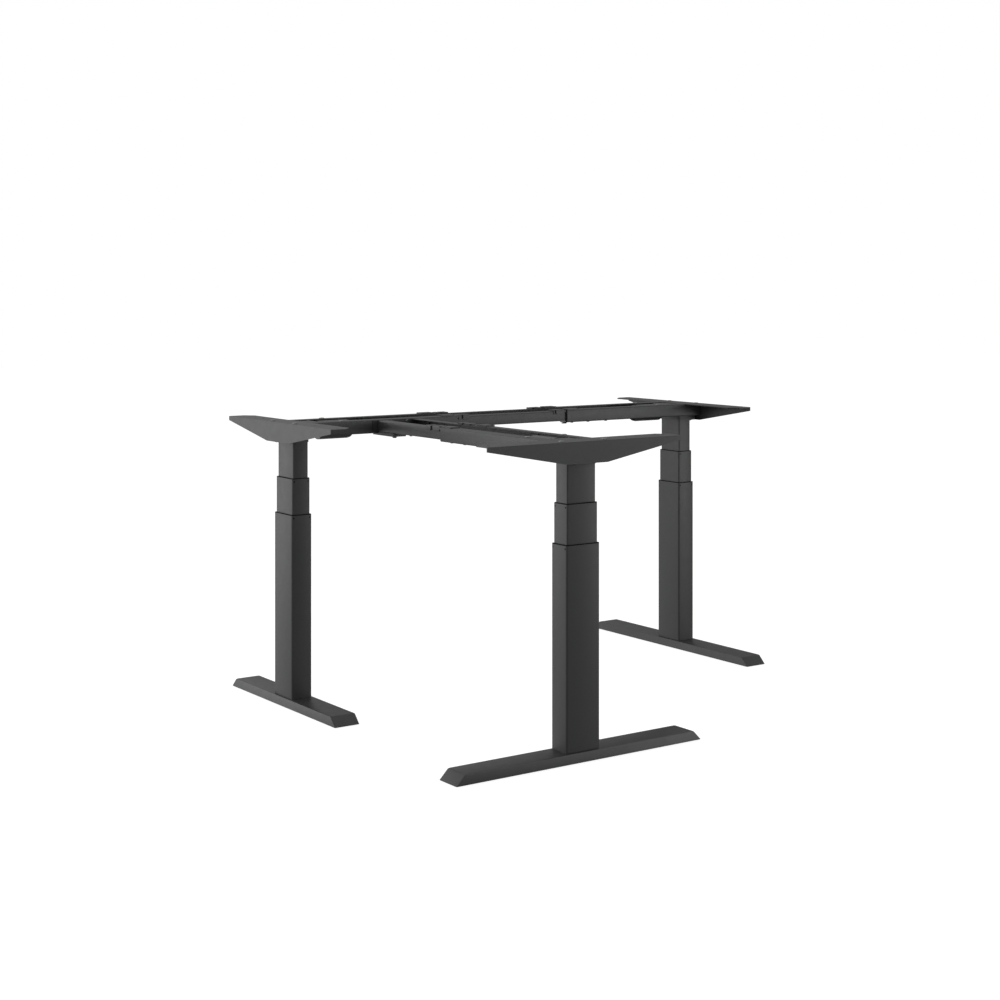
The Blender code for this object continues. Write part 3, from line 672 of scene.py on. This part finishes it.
def add_foot_and_head_bolts(leg, place):
    """Bolts up through the foot, and screws up through the column head."""
    z = local_box(f"{leg}_foot", place)[1].z - FOOT_SHEET
    spots = [
        place @ at(sx * FOOT_BOLT_X, sy * FOOT_BOLT_Y, z, UPSIDE_DOWN) for sx in (-1, 1) for sy in (-1, 1)
    ]
    piece(f"{leg}_foot_bolts", FOOT_BOLT, f"{leg}_base", "screw_zinc", spots)
    z = local_box(f"{leg}_column_head", place)[0].z
    spots = [place @ at(HEAD_SCREW_X, sy * HEAD_SCREW_Y, z, UPSIDE_DOWN) for sy in (-1, 1)]
    piece(f"{leg}_head_screws", FRAME_SCREW, f"{leg}_top", "screw_zinc", spots)


def add_junction_bolts():
    """Screws and bolts where the return beam meets the main beam."""
    for tag in ("left", "right"):
        low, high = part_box(f"return_{tag}_centre_rail")
        x = (low.x + high.x) / 2
        spots = [at(x, high.y - back * MM, low.z, UPSIDE_DOWN) for back in CENTRE_SCREWS]
        piece(f"return_{tag}_centre_screws", FRAME_SCREW, "corner_top", "screw_zinc", spots)
        low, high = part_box(f"corner_clamp_{tag}")
        spot = at((low.x + high.x) / 2, low.y + CLAMP_BOLT_Y, low.z, UPSIDE_DOWN)
        piece(f"corner_clamp_{tag}_bolt", CLAMP_BOLT, "corner_top", "screw_zinc", (spot,))
    plate_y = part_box("return_left_centre_rail")[1].y  # where the rails end, at the joint's plate
    low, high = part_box("corner_joint")
    middle_x = (low.x + high.x) / 2
    middle_z = (low.z + high.z) / 2
    spots = [
        at(middle_x + sx * JOINT_BOLT_X, plate_y, middle_z + sz * JOINT_BOLT_Z, TO_MINUS_Y)
        for sx in (-1, 1)
        for sz in (-1, 1)
    ]
    piece("corner_joint_bolts", JOINT_BOLT, "corner_top", "screw_zinc", spots)


for leg_name in LEGS:
    leg_frame = leg_place(leg_name)
    add_glide_pins(leg_name, leg_frame)
    add_bumpers(leg_name, leg_frame)
    add_clips(leg_name, leg_frame)
    add_lock_screws(leg_name, leg_frame)
    add_drive_details(leg_name, leg_frame)
    add_foot_and_head_bolts(leg_name, leg_frame)
# black bands on the right leg's end rails only: painted shade for the gap at their mouths
add_gap_shade_bands("right", leg_place("right"))
add_junction_bolts()

# ---------------------------------------------------------------- camera, floor and light

LENS = 63.146  # mm
SENSOR = 36.0  # mm
SHIFT_Y = -0.21484  # the level view's horizon lies above the picture's middle
FAR_CLIP = 60.0
CAMERA_FROM_CORNER = Vector((-2.319, -4.3108, 1.1634))  # from the corner leg's column axis, at the floor
CAMERA_TURN = (math.radians(90.0), 0.0, math.radians(-35.007))

FLOOR_HALF = 20.0
FLOOR_SCALE = 3.0  # patches of shade, per metre
FLOOR_SHADES = ((0.24, 0.24, 0.24), (0.26, 0.26, 0.26))
FLOOR_GLOW = 0.9
DOME_RADIUS = 40.0
WHITE = (1.0, 1.0, 1.0, 1.0)
BLACK = (0.0, 0.0, 0.0, 1.0)

ROOM_BASE = 0.20
ROOM_LIGHT = (
    ((-0.57, 0.82, 0.0), 0.3, 0.95, 0.75, 0.7),
    ((0.57, -0.82, 0.0), 0.2, 0.95, 0.265, 1.0),
    ((0.0, 0.0, 1.0), 0.0, 0.9, 0.35, 1.0),
)  # each glow's direction, cosines where it starts and is full, its strength, and its share below the horizon
HORIZON_FADE = (-0.28, -0.04)  # a direction's Z, over which a glow goes from that share to its full strength
SOFTBOXES = (
    ("key_left", (-3.2, -0.4, 1.3), (-0.5, -0.2, 0.45), (2.2, 1.6), 32.0),
    ("panel_back_left", (-2.75, 1.85, 0.8), (-0.7, -0.4, 0.5), (3.0, 1.8), 20.0),
    ("panel_front_right", (2.0, -1.7, 0.6), (0.7, 0.2, 0.3), (1.4, 1.4), 12.0),
    ("fill_front", (1.0, -3.2, 1.4), (-0.2, -0.3, 0.2), (1.5, 1.5), 10.0),
    ("top", (0.2, 0.2, 3.4), (0.0, 0.0, 0.0), (3.0, 3.0), 18.0),
)  # name, place, what it is aimed at, size, watts


def add_camera():
    lens = bpy.data.cameras.new("camera")
    lens.lens = LENS
    lens.sensor_width = SENSOR
    lens.shift_y = SHIFT_Y
    lens.clip_end = FAR_CLIP
    camera = add_object("camera", lens)
    camera.location = leg_place("corner").translation + CAMERA_FROM_CORNER
    camera.rotation_euler = CAMERA_TURN
    bpy.context.scene.camera = camera


def stage_for_camera_only(thing):
    """Stage piece that neither lights the desk nor shows in its gloss."""
    thing.visible_diffuse = False
    thing.visible_glossy = False
    thing.visible_transmission = False
    thing.visible_shadow = False


def add_floor():
    mesh = bpy.data.meshes.new("floor")
    corners = [(sx * FLOOR_HALF, sy * FLOOR_HALF, 0.0) for sx, sy in ((-1, -1), (1, -1), (1, 1), (-1, 1))]
    mesh.from_pydata(corners, [], [(0, 1, 2, 3)])
    material, tree, shader = new_material("pale_floor")
    coordinates = tree.nodes.new("ShaderNodeTexCoord").outputs["Object"]
    tone = remap(tree, noise(tree, coordinates, FLOOR_SCALE), *NOISE_SPAN, 0.0, 1.0)
    tree.links.new(mixed(tree, tone, *FLOOR_SHADES), shader.inputs["Base Color"])
    shader.inputs["Roughness"].default_value = 0.9
    shader.inputs["Specular IOR Level"].default_value = 0.1
    shader.inputs["Emission Color"].default_value = WHITE
    shader.inputs["Emission Strength"].default_value = FLOOR_GLOW
    mesh.materials.append(material)
    stage_for_camera_only(add_object("floor", mesh))


def add_backdrop():
    mesh = bpy.data.meshes.new("backdrop")
    sphere = bmesh.new()
    bmesh.ops.create_uvsphere(sphere, u_segments=48, v_segments=24, radius=DOME_RADIUS)
    bmesh.ops.reverse_faces(sphere, faces=sphere.faces[:])
    sphere.to_mesh(mesh)
    sphere.free()
    material, _, shader = new_material("white_backdrop")
    shader.inputs["Base Color"].default_value = BLACK
    shader.inputs["Specular IOR Level"].default_value = 0.0
    shader.inputs["Emission Color"].default_value = WHITE
    shader.inputs["Emission Strength"].default_value = 1.0
    mesh.materials.append(material)
    stage_for_camera_only(add_object("backdrop", mesh))


def light_room():
    """A dim room with a broad glow from each ROOM_LIGHT direction."""
    world = bpy.data.worlds.new("studio")
    bpy.context.scene.world = world
    world.use_nodes = True
    tree = world.node_tree
    tree.nodes.clear()
    out = tree.nodes.new("ShaderNodeOutputWorld")
    room = tree.nodes.new("ShaderNodeBackground")
    room.inputs["Color"].default_value = WHITE
    tree.links.new(room.outputs["Background"], out.inputs["Surface"])
    direction = tree.nodes.new("ShaderNodeTexCoord").outputs["Generated"]
    split = tree.nodes.new("ShaderNodeSeparateXYZ")
    tree.links.new(direction, split.inputs["Vector"])
    level = None
    for side, low, high, strength, floor_share in ROOM_LIGHT:
        toward = tree.nodes.new("ShaderNodeVectorMath")
        toward.operation = "DOT_PRODUCT"
        toward.inputs[1].default_value = side
        tree.links.new(direction, toward.inputs[0])
        glow = remap(tree, toward.outputs["Value"], low, high, 0.0, strength)
        fade = remap(tree, split.outputs["Z"], *HORIZON_FADE, floor_share, 1.0)
        glow = maths(tree, "MULTIPLY", glow, fade)
        level = glow if level is None else maths(tree, "ADD", level, glow)
    tree.links.new(maths(tree, "ADD", level, ROOM_BASE), room.inputs["Strength"])


def add_softboxes():
    for name, place, target, size, watts in SOFTBOXES:
        light = bpy.data.lights.new(name, "AREA")
        light.shape = "RECTANGLE"
        light.size, light.size_y = size
        light.energy = watts
        lamp = add_object(name, light)
        lamp.location = place
        lamp.rotation_euler = (Vector(target) - Vector(place)).to_track_quat("-Z", "Y").to_euler()
        lamp.visible_camera = False


bpy.context.scene.view_settings.view_transform = "Standard"
bpy.context.scene.view_settings.look = "None"
add_camera()
add_floor()
add_backdrop()
light_room()
add_softboxes()
